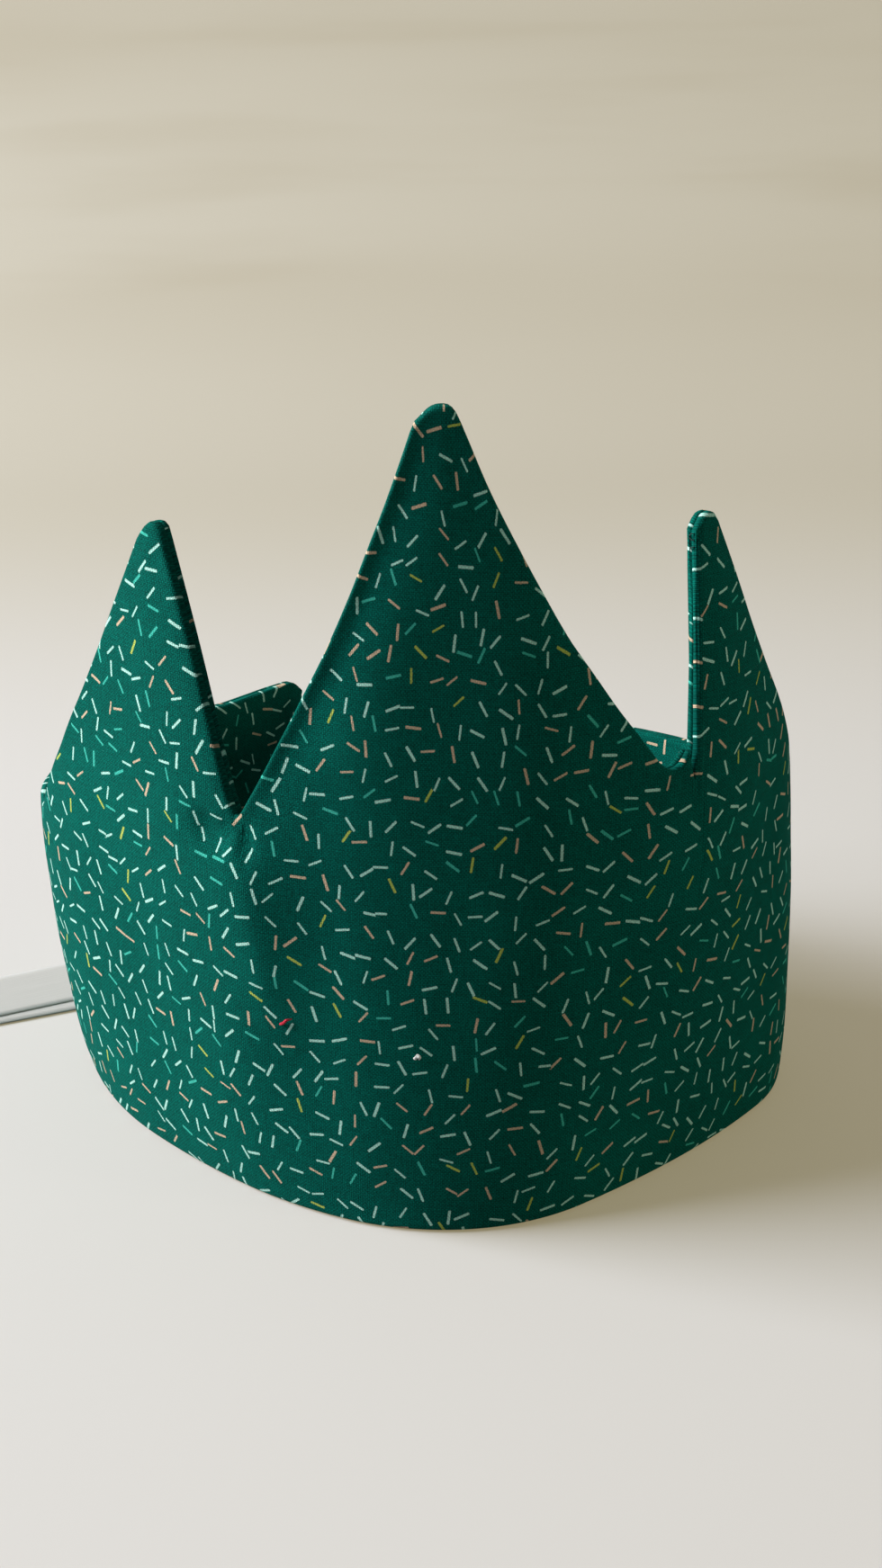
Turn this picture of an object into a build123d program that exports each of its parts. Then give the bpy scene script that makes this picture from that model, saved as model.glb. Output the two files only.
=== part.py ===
"""Padded fabric crown: a cotton band with three points, wadding inside and ribbon ties at the back.

Millimetres, +Z up. The origin is on the floor under the middle of the front, where the outer face
stands, and the front faces -Y. Places on the wall are given as (s, z): s is the distance round the
outer face at the floor, zero at the front, negative to the left, and z is the height.
"""

from build123d import *
from math import ceil, cos, hypot, radians, sin
import os

os.makedirs("parts", exist_ok=True)

# Band: how it stands, as bends from the front towards each end
stretch_lengths = (25.0, 25.0, 30.0, 35.0, 45.0, 48.0)
left_bends = (28.0, 15.0, 9.0, 24.0, 65.0, -6.0)
right_bends = (32.0, 6.0, 10.0, 61.0, 38.0, 12.0)
front_turn = 3.0

# Wall: how far the outer face leans out (or in, negative), at the same bends, end to end
band_lean_height = 80.0
tip_lean_height = 150.0
band_leans = (2.0, 2.5, 6.0, 2.0, 2.0, -3.0, -5.0, -1.0, 4.0, 0.5, -2.5, -5.0, -4.5)
tip_leans = (-1.5, -1.5, 0.0, -3.5, -6.5, -8.0, -9.5, -7.0, -2.0, -5.5, -7.0, -9.0, -8.5)

# Wall: layers
wall_thickness = 4.6
cotton_thickness = 0.6
layer_clearance = 0.1
wadding_clearance = 0.3
seam_allowance = 1.8
end_allowance = 8.0

# Outline: heights and places of the points, the valleys and the band
centre_tip_place = -2.6
centre_tip_height = 160.0
centre_tip_half_width = 5.4
left_tip_place = -68.5
left_tip_height = 135.0
right_tip_place = 55.5
right_tip_height = 135.7
side_tip_half_width = 3.6
tip_round_drop = 3.0
left_valley_place = -45.0
left_valley_height = 83.0
right_valley_place = 45.0
right_valley_height = 89.0
valley_half_width = 3.8
valley_rise = 3.0
left_corner_place = -113.5
right_corner_place = 109.0
back_height = 66.0

# Outline: how far each edge of a point curves in from a straight line (negative curves out)
left_outer_hollow = 2.5
left_inner_hollow = -1.1
centre_left_hollow = 0.8
centre_right_hollow = 1.2
right_inner_hollow = 1.9
right_outer_hollow = 4.9

# Ties
tie_width = 20.0
tie_thickness = 0.5
tie_height = 33.0
tie_clearance = 0.1
tie_sewn_length = 6.0
tie_stub = 4.0
tie_fold_radius = 3.5
tie_side_run = 10.0
tie_floor_run = 32.0
tie_tuck_run = 60.0
tie_tuck_radius = 1.0
left_tie_landing = (-104.0, 106.5)
left_tie_heading = 204.0
right_tie_landing = (48.0, 156.0)
right_tie_heading = 14.0

# Worked out from the sizes above
half_length = sum(stretch_lengths)
mid_depth = wall_thickness / 2
tie_top_height = tie_thickness / 2 + 2 * tie_tuck_radius
tie_droop_share = 0.4
tie_twist_steps = 6

section_spacing = 8.0
least_sections = 4

# Top edge from the left end to the right end, as (start, end, hollow) with (s, z) ends
left_end = (-half_length, back_height)
left_corner = (left_corner_place, back_height)
left_tip_start = (left_tip_place - side_tip_half_width, left_tip_height - tip_round_drop)
left_tip_end = (left_tip_place + side_tip_half_width, left_tip_height - tip_round_drop)
left_valley_start = (left_valley_place - valley_half_width, left_valley_height + valley_rise)
left_valley_end = (left_valley_place + valley_half_width, left_valley_height + valley_rise)
centre_tip_start = (centre_tip_place - centre_tip_half_width, centre_tip_height - tip_round_drop)
centre_tip_end = (centre_tip_place + centre_tip_half_width, centre_tip_height - tip_round_drop)
right_valley_start = (right_valley_place - valley_half_width, right_valley_height + valley_rise)
right_valley_end = (right_valley_place + valley_half_width, right_valley_height + valley_rise)
right_tip_start = (right_tip_place - side_tip_half_width, right_tip_height - tip_round_drop)
right_tip_end = (right_tip_place + side_tip_half_width, right_tip_height - tip_round_drop)
right_corner = (right_corner_place, back_height)
right_end = (half_length, back_height)
edges = (
    (left_end, left_corner, 0.0),
    (left_corner, left_tip_start, left_outer_hollow),
    (left_tip_start, left_tip_end, -tip_round_drop),
    (left_tip_end, left_valley_start, left_inner_hollow),
    (left_valley_start, left_valley_end, valley_rise),
    (left_valley_end, centre_tip_start, centre_left_hollow),
    (centre_tip_start, centre_tip_end, -tip_round_drop),
    (centre_tip_end, right_valley_start, centre_right_hollow),
    (right_valley_start, right_valley_end, valley_rise),
    (right_valley_end, right_tip_start, right_inner_hollow),
    (right_tip_start, right_tip_end, -tip_round_drop),
    (right_tip_end, right_corner, right_outer_hollow),
    (right_corner, right_end, 0.0),
)


def bend_places():
    """Distances round the floor line where the bend changes, from the left end to the right."""
    right = [sum(stretch_lengths[:count]) for count in range(1, len(stretch_lengths) + 1)]
    return [-place for place in reversed(right)] + [0.0] + right


# The floor line of the outer face: tangent arcs from the front outwards, one list for each side.
# Each arc is kept with its starting distance so that a place on it can be found.
def half_line(bends, side):
    """Arcs of one half of the floor line; side is 1 for the right half and -1 for the left."""
    start = Vector(0, 0, 0)
    heading = front_turn if side > 0 else front_turn + 180
    arcs = []
    for length, bend in zip(stretch_lengths, bends):
        turn = side * bend
        tangent = Vector(cos(radians(heading)), sin(radians(heading)), 0)
        arc = JernArc(start, tangent, length / radians(abs(turn)), turn, mode=Mode.PRIVATE)
        arcs.append(arc)
        start = arc @ 1
        heading += turn
    return arcs


left_arcs = half_line(left_bends, -1)
right_arcs = half_line(right_bends, 1)


def floor_point(s):
    """Point of the outer face on the floor and the direction of growing s there."""
    arcs = right_arcs if s >= 0 else left_arcs
    rest = min(abs(s), half_length)
    for arc, length in zip(arcs, stretch_lengths):
        if rest <= length + 1e-9:
            break
        rest -= length
    share = rest / length
    tangent = arc % share
    return arc @ share, tangent if s >= 0 else tangent * -1


def between(places, values, s):
    """Value at s on straight lines between the listed places."""
    for low, high, start, end in zip(places, places[1:], values, values[1:]):
        if s <= high:
            return start + (end - start) * (s - low) / (high - low)
    return values[-1]


def lean(s, z):
    """How far the outer face stands out at a height, a smooth curve through the two leans."""
    band = between(bend_places(), band_leans, s)
    tip = between(bend_places(), tip_leans, s)
    curl = (tip / tip_lean_height - band / band_lean_height) / (tip_lean_height - band_lean_height)
    slope = band / band_lean_height - curl * band_lean_height
    return slope * z + curl * z * z


def wall_point(s, z, depth=0.0):
    """Point of the wall at (s, z), depth millimetres in from the outer face."""
    point, tangent = floor_point(s)
    outward = Vector(tangent.Y, -tangent.X, 0)
    return point + outward * (lean(s, z) - depth) + Vector(0, 0, z)


def point_edge(start, end, hollow, s):
    """Height at s on the edge from start to end, curved in by hollow at its middle."""
    (low, low_height), (high, high_height) = start, end
    share = (s - low) / (high - low)
    slant = hypot(high - low, high_height - low_height) / (high - low)
    return low_height + (high_height - low_height) * share - 4 * hollow * slant * share * (1 - share)


def outline_height(s):
    """Height of the crown's top edge at s."""
    for start, end, hollow in edges:
        if s <= end[0]:
            break
    return point_edge(start, end, hollow, s)


def inset_height(s, inset):
    """Height of a line drawn inside the top edge, inset millimetres from it all round."""
    if not inset:
        return outline_height(s)
    angles = [radians(angle) for angle in range(-90, 91, 10)]
    return min(outline_height(s + inset * sin(angle)) - inset * cos(angle) for angle in angles)


def section_places(end_trim):
    """Places of the upright sections from end to end, with one at each break of the outline."""
    limit = half_length - end_trim
    places = []
    for (low, _), (high, _), _ in edges:
        steps = max(least_sections, ceil((high - low) / section_spacing))
        places += [low + (high - low) * step / steps for step in range(steps)]
    return [-limit] + [place for place in places if abs(place) < limit] + [limit]


def wall_layer(outer_depth, inner_depth, inset=0.0, end_trim=0.0):
    """One layer of the wall between two depths, drawn in by inset at its top and bottom edges.

    It is lofted through upright sections that lean as the wall leans, ruled from each to the next
    so that the tips, the valleys and the corners of the band keep their breaks.
    """
    with BuildPart() as layer:
        for s in section_places(end_trim):
            point, tangent = floor_point(s)
            top = inset_height(s, inset)
            middle = (inset + top) / 2
            low_lean, high_lean = lean(s, inset), lean(s, top)
            pull_lean = 2 * lean(s, middle) - (low_lean + high_lean) / 2
            line = [(low_lean, inset), (pull_lean, middle), (high_lean, top)]
            away = Vector(tangent.Y, -tangent.X, 0)
            with BuildSketch(Plane(origin=point, x_dir=away, z_dir=tangent * -1)):
                with BuildLine():
                    front = Bezier(*[(x - outer_depth, z) for x, z in line])
                    back = Bezier(*[(x - inner_depth, z) for x, z in line])
                    Line(front @ 0, back @ 0)
                    Line(front @ 1, back @ 1)
                make_face()
        loft(ruled=True)
    return layer.part


def end_frame(side):
    """Middle of a band end at the tie's height, the way out of it and the way out of the ring."""
    point = wall_point(side * half_length, tie_height, mid_depth)
    _, tangent = floor_point(side * half_length)
    return point, tangent * side, Vector(tangent.Y, -tangent.X, 0)


def tie_slot(side):
    """Room for the sewn end of a tie between the two cotton layers."""
    point, outwards, _ = end_frame(side)
    start = point - outwards * (tie_sewn_length + tie_clearance)
    with BuildPart() as slot:
        with BuildSketch(Plane(origin=start, x_dir=(0, 0, 1), z_dir=outwards)):
            Rectangle(tie_width + 2 * tie_clearance, tie_thickness + 2 * tie_clearance)
        extrude(amount=2 * end_allowance)
    return slot.part


def tie_start(side):
    """Sewn end of a tie, the stub past the band end and the fold back along the outer face."""
    point, outwards, away = end_frame(side)
    start = point - outwards * tie_sewn_length
    turn_start = point + outwards * tie_stub
    turn_end = turn_start + away * 2 * tie_fold_radius
    finish = turn_end - outwards * tie_side_run
    with BuildPart() as piece:
        with BuildLine() as route:
            Line(start, turn_start)
            ThreePointArc(
                turn_start,
                turn_start + (away + outwards) * tie_fold_radius,
                turn_end,
            )
            Line(turn_end, finish)
        with BuildSketch(Plane(origin=start, x_dir=(0, 0, 1), z_dir=outwards)):
            Rectangle(tie_width, tie_thickness)
        sweep(path=route.wires()[0])
    return piece.part, finish, outwards * -1


def tie_twist(start, start_way, landing, heading, top_way):
    """Stretch that drops from the band end to the floor and turns from upright to flat."""
    flat_way = Vector(cos(radians(heading)), sin(radians(heading)), 0)
    landing_point = Vector(*landing, tie_top_height)
    reach = (landing_point - start).length * tie_droop_share
    route = Bezier(
        start,
        start + start_way * reach,
        landing_point - flat_way * reach,
        landing_point,
    )
    with BuildPart() as piece:
        for step in range(tie_twist_steps + 1):
            share = step / tie_twist_steps
            roll = radians(90 * share * share * (3 - 2 * share))
            along = route % share
            level = along.cross(Vector(0, 0, 1)).normalized() * top_way
            upright = level.cross(along) * top_way
            across = upright * cos(roll) + level * sin(roll)
            with BuildSketch(Plane(origin=route @ share, x_dir=across, z_dir=along)):
                Rectangle(tie_width, tie_thickness)
        loft()
    return piece.part


def tie_end(landing, heading):
    """Flat run on the floor, folded under itself at its far end."""
    way = Vector(cos(radians(heading)), sin(radians(heading)), 0)
    side_face = Plane(origin=Vector(*landing, 0), x_dir=way, z_dir=way.cross(Vector(0, 0, 1)))
    low, top = 0.0, tie_top_height + tie_thickness / 2
    middle = (low + top) / 2
    outer_reach = tie_floor_run + top / 2
    inner_reach = outer_reach - tie_thickness
    tuck_end = tie_floor_run - tie_tuck_run
    with BuildPart() as piece:
        with BuildSketch(side_face):
            with BuildLine():
                Line((0, top), (tie_floor_run, top))
                ThreePointArc((tie_floor_run, top), (outer_reach, middle), (tie_floor_run, low))
                Polyline((tie_floor_run, low), (tuck_end, low), (tuck_end, tie_thickness),
                         (tie_floor_run, tie_thickness))
                ThreePointArc((tie_floor_run, tie_thickness), (inner_reach, middle),
                              (tie_floor_run, top - tie_thickness))
                Polyline((tie_floor_run, top - tie_thickness), (0, top - tie_thickness), (0, top))
            make_face()
        extrude(amount=tie_width / 2, both=True)
    return piece.part


def tie(side, landing, heading):
    """A whole ribbon tie: sewn end, fold, twisting drop and the run that lies on the floor."""
    start_piece, finish, way = tie_start(side)
    with BuildPart() as ribbon:
        add(start_piece)
        add(tie_twist(finish, way, landing, heading, side))
        add(tie_end(landing, heading))
    return ribbon.part


pocket = wall_layer(cotton_thickness, wall_thickness - cotton_thickness, seam_allowance,
                    end_allowance)

with BuildPart() as outer_panel:
    add(wall_layer(0, mid_depth - layer_clearance / 2))
    add(pocket, mode=Mode.SUBTRACT)
    add(tie_slot(-1), mode=Mode.SUBTRACT)
    add(tie_slot(1), mode=Mode.SUBTRACT)
outer_panel.part.label = "outer_panel"

with BuildPart() as lining_panel:
    add(wall_layer(mid_depth + layer_clearance / 2, wall_thickness))
    add(pocket, mode=Mode.SUBTRACT)
    add(tie_slot(-1), mode=Mode.SUBTRACT)
    add(tie_slot(1), mode=Mode.SUBTRACT)
lining_panel.part.label = "lining_panel"

with BuildPart() as wadding:
    add(wall_layer(cotton_thickness + wadding_clearance,
                   wall_thickness - cotton_thickness - wadding_clearance,
                   seam_allowance + wadding_clearance, end_allowance + wadding_clearance))
wadding.part.label = "wadding"

with BuildPart() as left_tie:
    add(tie(-1, left_tie_landing, left_tie_heading))
left_tie.part.label = "left_tie"

with BuildPart() as right_tie:
    add(tie(1, right_tie_landing, right_tie_heading))
right_tie.part.label = "right_tie"

for piece in (outer_panel, lining_panel, wadding, left_tie, right_tie):
    export_step(piece.part, f"parts/{piece.part.label}.step")
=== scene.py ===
"""Padded cotton crown with a dash print, satin ribbon ties and wadding, standing on a pale table.

The frame is in metres, +Z up, with its origin on the table under the middle of the crown's front,
which faces -Y. Sizes named *_mm are millimetres. A place on the crown's wall is (s, z): s is the
distance round the outer face at the table, zero at the front and negative to the left, and z is
the height. Cloth is drawn flat on (s, z), and bent to the wall afterwards, so its print and weave
follow the cloth.
"""

import logging
import math
from bisect import bisect_right
from dataclasses import dataclass, field
from enum import Enum
from typing import Callable, Iterable

import bmesh
import bpy
import numpy as np
from mathutils import Matrix, Vector, noise


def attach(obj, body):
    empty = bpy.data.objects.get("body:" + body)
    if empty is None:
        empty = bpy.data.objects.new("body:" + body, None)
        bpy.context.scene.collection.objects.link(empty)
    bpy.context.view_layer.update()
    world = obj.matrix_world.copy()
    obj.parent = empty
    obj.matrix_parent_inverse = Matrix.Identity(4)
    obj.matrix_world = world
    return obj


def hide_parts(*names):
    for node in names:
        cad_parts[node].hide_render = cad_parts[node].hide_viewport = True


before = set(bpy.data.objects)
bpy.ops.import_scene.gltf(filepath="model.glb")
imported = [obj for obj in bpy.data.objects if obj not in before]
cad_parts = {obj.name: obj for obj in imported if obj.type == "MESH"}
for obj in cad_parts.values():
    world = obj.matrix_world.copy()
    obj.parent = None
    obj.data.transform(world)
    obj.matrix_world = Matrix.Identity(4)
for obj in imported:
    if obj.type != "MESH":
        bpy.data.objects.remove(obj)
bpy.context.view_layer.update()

log = logging.getLogger("crown")
MM = 0.001
Colour = tuple[float, float, float, float]
Spot = tuple[float, float]
Place = tuple[float, float, float]


# Shader maths

def maths(operation: str) -> Callable[..., "Signal"]:
    """Makes a method of a signal that adds one Math node.

    Args:
        operation: the node's operation.

    Returns:
        The method, which takes what follows the signal in the node's inputs.
    """

    def method(first: "Signal", *others: "Signal | float") -> "Signal":
        """Adds the node and gives its result."""
        node = first.finish.node("ShaderNodeMath", {"operation": operation}, [first, *others])
        return Signal(first.finish, node.outputs[0])

    return method


class Signal:
    """A value that changes over a surface: one output socket, with Python's arithmetic."""

    __add__ = __radd__ = maths("ADD")
    __sub__ = maths("SUBTRACT")
    __mul__ = __rmul__ = maths("MULTIPLY")
    __pow__ = maths("POWER")
    __abs__ = maths("ABSOLUTE")
    at_least = maths("MAXIMUM")
    sine = maths("SINE")
    cosine = maths("COSINE")

    def __init__(self, finish: "NodeFinish", socket: bpy.types.NodeSocket) -> None:
        """Wraps a socket of the finish's tree."""
        self.finish = finish
        self.socket = socket

    def __rsub__(self, other: float) -> "Signal":
        """Difference from a number."""
        return (self * -1.0) + other

    def rise(self, low: float, high: float) -> "Signal":
        """Smooth step from 0 at low to 1 at high, or down where high is below low."""
        start, end = (0.0, 1.0) if low < high else (1.0, 0.0)
        node = self.finish.node(
            "ShaderNodeMapRange",
            {"interpolation_type": "SMOOTHSTEP"},
            [self, min(low, high), max(low, high), start, end],
        )
        return Signal(self.finish, node.outputs[0])


class NodeFinish:
    """A material's node tree with one method for every kind of node."""

    def __init__(self, name: str, world: bpy.types.World | None = None) -> None:
        """Starts an empty material with the given name, or empties a world's nodes."""
        self.material = world or bpy.data.materials.new(name)
        self.material.use_nodes = True
        self.tree = self.material.node_tree
        self.tree.nodes.clear()

    def node(
        self,
        kind: str,
        settings: dict[str, object] | None = None,
        values: Iterable[object] | dict[str, object] = (),
    ) -> bpy.types.Node:
        """Adds a node.

        Args:
            kind: the node's type name.
            settings: its properties, and "stops" for a ramp, set before its sockets.
            values: what its inputs hold, in order or by name: links, signals or plain values.

        Returns:
            The new node.
        """
        made = self.tree.nodes.new(kind)
        for name, value in (settings or {}).items():
            if name == "stops":
                self._set_stops(made, value)
            else:
                setattr(made, name, value)
        pairs = values.items() if isinstance(values, dict) else enumerate(values)
        for key, value in pairs:
            socket = made.inputs[key]
            if isinstance(value, Signal):
                self.tree.links.new(value.socket, socket)
            elif isinstance(value, bpy.types.NodeSocket):
                self.tree.links.new(value, socket)
            elif value is not None:
                socket.default_value = value
        return made

    @staticmethod
    def _set_stops(ramp: bpy.types.Node, stops: list[tuple[float, Colour]]) -> None:
        """Gives a colour ramp its stops, each held until the next."""
        ramp.color_ramp.interpolation = "CONSTANT"
        elements = ramp.color_ramp.elements
        while len(elements) < len(stops):
            elements.new(0.5)
        for element, (place, colour) in zip(elements, stops):
            element.position = place
            element.color = colour

    def signal(self, node: bpy.types.Node, output: int | str = 0) -> Signal:
        """One output of a node as a signal."""
        return Signal(self, node.outputs[output])

    def axes(self, place: object) -> list[Signal]:
        """The three coordinates of a place."""
        parts = self.node("ShaderNodeSeparateXYZ", None, [place])
        return [self.signal(parts, n) for n in range(3)]

    def mix(
        self, share: Signal | float, first: object, second: object, blend: str = "MIX"
    ) -> bpy.types.NodeSocket:
        """Blends two colours.

        Args:
            share: how much of the second colour there is.
            first: the colour at 0.
            second: the colour at 1, or what the first is multiplied by.
            blend: the node's way of blending.

        Returns:
            The blended colour.
        """
        settings = {"data_type": "RGBA", "blend_type": blend}
        return self.node("ShaderNodeMix", settings, {0: share, 6: first, 7: second}).outputs[2]

    def bump(self, strength: float, distance: float, height: Signal) -> bpy.types.NodeSocket:
        """Normal of a surface that a height of 1 raises by the distance in metres."""
        values = {"Strength": strength, "Distance": distance, "Height": height}
        return self.node("ShaderNodeBump", None, values).outputs[0]

    def noise(
        self, place: object, scale: float, detail: float = 2.0, stretch: Place | None = None
    ) -> Signal:
        """Noise between 0 and 1.

        Args:
            place: the coordinates it follows.
            scale: how many spots fit in a unit.
            detail: how many finer layers it has.
            stretch: factors on the coordinates, for streaks.

        Returns:
            The noise's factor.
        """
        if stretch is not None:
            scaled = self.node("ShaderNodeVectorMath", {"operation": "MULTIPLY"}, [place, stretch])
            place = scaled.outputs[0]
        made = self.node(
            "ShaderNodeTexNoise", None, {"Vector": place, "Scale": scale, "Detail": detail}
        )
        return self.signal(made)

    def seen(self) -> Signal:
        """One where a ray shows the camera, a reflection or a see-through part, else zero."""
        rays = self.node("ShaderNodeLightPath")
        shown = self.signal(rays, "Is Camera Ray").at_least(self.signal(rays, "Is Glossy Ray"))
        return shown.at_least(self.signal(rays, "Is Transmission Ray"))

    def surface(self, **values: object) -> bpy.types.Node:
        """Ends the tree in one Principled shader with the given socket values.

        Args:
            values: sockets by name, with underscores for spaces.

        Returns:
            The shader node.
        """
        named = {name.replace("_", " "): value for name, value in values.items()}
        shader = self.node("ShaderNodeBsdfPrincipled", None, named)
        self.node("ShaderNodeOutputMaterial", None, [shader.outputs[0]])
        return shader


def weighed(signals: tuple[Signal, ...], shares: tuple[float, ...]) -> Signal:
    """Sum of the signals, each times its share."""
    total, *others = (signal * share for signal, share in zip(signals, shares))
    for other in others:
        total = total + other
    return total


def srgb(red: int, green: int, blue: int) -> Colour:
    """Linear colour of an 8-bit display colour."""

    def linear(value: int) -> float:
        """One channel's linear value."""
        share = value / 255
        return share / 12.92 if share <= 0.04045 else ((share + 0.055) / 1.055) ** 2.4

    return (linear(red), linear(green), linear(blue), 1.0)


# Shapes

def grid(columns: int, rows: int) -> tuple[bmesh.types.BMesh, list[tuple[int, int]]]:
    """Makes a flat grid with a side of one, about the origin.

    Args:
        columns: how many cells it has along X.
        rows: how many cells it has along Y.

    Returns:
        The grid, and the column and row of each of its points.
    """
    bm = bmesh.new()
    bmesh.ops.create_grid(bm, x_segments=columns, y_segments=rows, size=0.5)
    bm.verts.ensure_lookup_table()
    at = [
        (round((vert.co.x + 0.5) * columns), round((vert.co.y + 0.5) * rows)) for vert in bm.verts
    ]
    return bm, at


def linked(name: str, data: bpy.types.ID) -> bpy.types.Object:
    """Adds an object with the given mesh, camera or light to the scene."""
    made = bpy.data.objects.new(name, data)
    bpy.context.scene.collection.objects.link(made)
    return made


def finished(
    bm: bmesh.types.BMesh,
    name: str,
    material: bpy.types.Material | None = None,
    flat: list[Spot] | None = None,
) -> bpy.types.Object:
    """Turns a shape into a smooth object and frees the shape.

    Args:
        bm: the shape.
        name: the object's name.
        material: its material, if it has one.
        flat: where each point lies on the flat cloth, in metres, if it is cloth.

    Returns:
        The object.
    """
    cloth = bm.loops.layers.uv.new("cloth") if flat else None
    for bm_face in bm.faces:
        bm_face.smooth = True
        for loop in bm_face.loops if flat else ():
            loop[cloth].uv = flat[loop.vert.index]
    mesh = bpy.data.meshes.new(name)
    bm.to_mesh(mesh)
    bm.free()
    if material:
        mesh.materials.append(material)
    return linked(name, mesh)


def thicken(piece: bpy.types.Object, thickness_mm: float, offset: float) -> None:
    """Gives a sheet its thickness, on the side that the offset says."""
    wall = piece.modifiers.new("thickness", "SOLIDIFY")
    wall.thickness = thickness_mm * MM
    wall.offset = offset


def rounded_places(ends: Spot, zones: Spot, turns: int, count: int) -> list[float]:
    """Spreads places evenly but for a zone at each end, where the cloth rounds over.

    Args:
        ends: the first and the last place.
        zones: how long the zone at each end is.
        turns: how many places each zone has, closer together towards the end.
        count: how many places there are in all.

    Returns:
        The places in order.
    """
    (low, high), (low_zone, high_zone), middle = ends, zones, count - 2 * turns
    eased = [1 - math.cos(math.pi / 2 * n / turns) for n in range(turns)]
    start, stop = low + low_zone, high - high_zone
    inner = [start + (stop - start) * n / (middle - 1) for n in range(middle)]
    return (
        [low + low_zone * ease for ease in eased]
        + inner
        + [high - high_zone * ease for ease in reversed(eased)]
    )


# Finishes

@dataclass(frozen=True)
class DashCotton:
    """Plain-weave cotton with scattered short dashes printed on a deep green ground.

    A zone is where a smooth step starts and ends. The weave's light and relief are sums of its
    knots, upper threads, flecks and slubs, in the shares given, and the last light is the gaps'.
    The weave's light is painted into the colour. The knots and upper threads carry painted
    highlight, the gaps between threads carry painted shade, and the flecks and slubs give uneven
    tone.
    """

    name: str = "dash_cotton"
    ground: Colour = srgb(0, 111, 96)
    ground_deep: Colour = srgb(0, 84, 73)
    ground_worn: Colour = srgb(8, 130, 113)
    mint: Colour = srgb(188, 238, 221)
    peach: Colour = srgb(220, 189, 158)
    teal: Colour = srgb(70, 190, 168)
    lime: Colour = srgb(190, 202, 92)
    ink_stops: tuple[float, ...] = (0.0, 0.61, 0.82, 0.945)
    ink_cover: float = 0.93
    ink_edge_mm: float = 0.07
    ink_fray_mm: float = 0.28
    thread_pitch_mm: float = 0.38
    dash_pitch_mm: float = 4.45
    dash_half_length_mm: float = 1.55
    dash_length_spread_mm: float = 0.3
    dash_half_width_mm: float = 0.25
    dash_width_spread_mm: float = 0.1
    dash_end_round_mm: float = 0.2
    dash_gap_zone_mm: Spot = (0.36, 0.6)
    scatter: float = 0.66
    grain_turn: float = 0.045
    knot_zone: Spot = (0.0, 0.7)
    upper_zone: Spot = (-0.45, 0.45)
    fleck_zone: Spot = (0.3, 0.7)
    flecks_per_thread: float = 1.1
    slub_zone: Spot = (0.2, 0.8)
    streak_scales: Spot = (2.6, 0.3)
    patch_zone: Spot = (0.45, 0.75)
    patch_scale: float = 0.035
    patch_cover: float = 0.25
    # painted light of the weave: shares for knots, upper threads, flecks and slubs, then the gaps'
    # painted shade
    painted_light_shares: tuple[float, ...] = (0.42, 0.3, 0.4, 0.1, 0.1)
    relief_shares: tuple[float, ...] = (0.5, 0.2, 0.3, 0.1)
    # the even level that the painted weave light keeps on the dashes
    ink_painted_light: float = 0.55
    ink_evenness: float = 0.45
    relief_m: float = 0.00016

    def _dash(
        self, finish: NodeFinish, place: Signal, feature: str
    ) -> tuple[Signal, bpy.types.NodeSocket]:
        """One family of dashes, a dash in each cell of a scattered layout.

        Args:
            finish: the tree.
            place: cloth coordinates, in cells.
            feature: which of the nearest cells, F1 or F2.

        Returns:
            The distance from the dash's edge in millimetres, and the dash's colour.
        """
        cells = finish.node(
            "ShaderNodeTexVoronoi",
            {"voronoi_dimensions": "2D", "feature": feature},
            {"Vector": place, "Scale": 1.0, "Randomness": self.scatter},
        )
        offset = finish.node(
            "ShaderNodeVectorMath", {"operation": "SUBTRACT"}, [place, cells.outputs["Position"]]
        )
        x, y, _ = finish.axes(offset.outputs[0])
        colour = finish.node("ShaderNodeSeparateColor", None, [cells.outputs["Color"]])
        turn_chance, ink_chance, size = (finish.signal(colour, n) for n in range(3))
        turn = turn_chance * math.tau
        cos_turn, sin_turn = turn.cosine(), turn.sine()
        round_off = self.dash_end_round_mm

        def beyond(off: Signal, half: float, spread: float) -> Signal:
            """How far a place lies past the dash's half size along one of its directions."""
            reach = size * spread + (half - spread / 2 - round_off)
            return (abs(off) * self.dash_pitch_mm - reach).at_least(0.0)

        past = beyond(
            x * cos_turn + y * sin_turn, self.dash_half_length_mm, self.dash_length_spread_mm
        )
        beside = beyond(
            y * cos_turn - x * sin_turn, self.dash_half_width_mm, self.dash_width_spread_mm
        )
        distance = (past * past + beside * beside) ** 0.5 - round_off
        inks = (self.mint, self.peach, self.teal, self.lime)
        ink = finish.node(
            "ShaderNodeValToRGB", {"stops": list(zip(self.ink_stops, inks))}, [ink_chance]
        )
        return distance, ink.outputs[0]

    def material(self) -> bpy.types.Material:
        """Builds the cotton: ground, dashes, weave with its painted highlight and shade, and its
        fine unevenness.
        """
        finish = NodeFinish(self.name)
        cloth = finish.node("ShaderNodeUVMap", {"uv_map": "cloth"}).outputs[0]
        turn, scale = (0.0, 0.0, self.grain_turn), (1.0 / MM, 1.0 / MM, 1.0)
        turned = finish.node(
            "ShaderNodeMapping", None, {"Vector": cloth, "Rotation": turn, "Scale": scale}
        ).outputs[0]
        across, up, _ = finish.axes(turned)

        cells = finish.node(
            "ShaderNodeVectorMath",
            {"operation": "SCALE"},
            {0: turned, "Scale": 1.0 / self.dash_pitch_mm},
        ).outputs[0]
        near, near_ink = self._dash(finish, cells, "F1")
        next_, next_ink = self._dash(finish, cells, "F2")
        fleck = finish.noise(turned, self.flecks_per_thread / self.thread_pitch_mm, 1.0)
        frayed = fleck * self.ink_fray_mm - self.ink_fray_mm / 2
        near_mask = (near + frayed).rise(self.ink_edge_mm, -self.ink_edge_mm)
        clear = near.rise(*self.dash_gap_zone_mm)
        next_mask = (next_ + frayed).rise(self.ink_edge_mm, -self.ink_edge_mm) * clear

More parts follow.
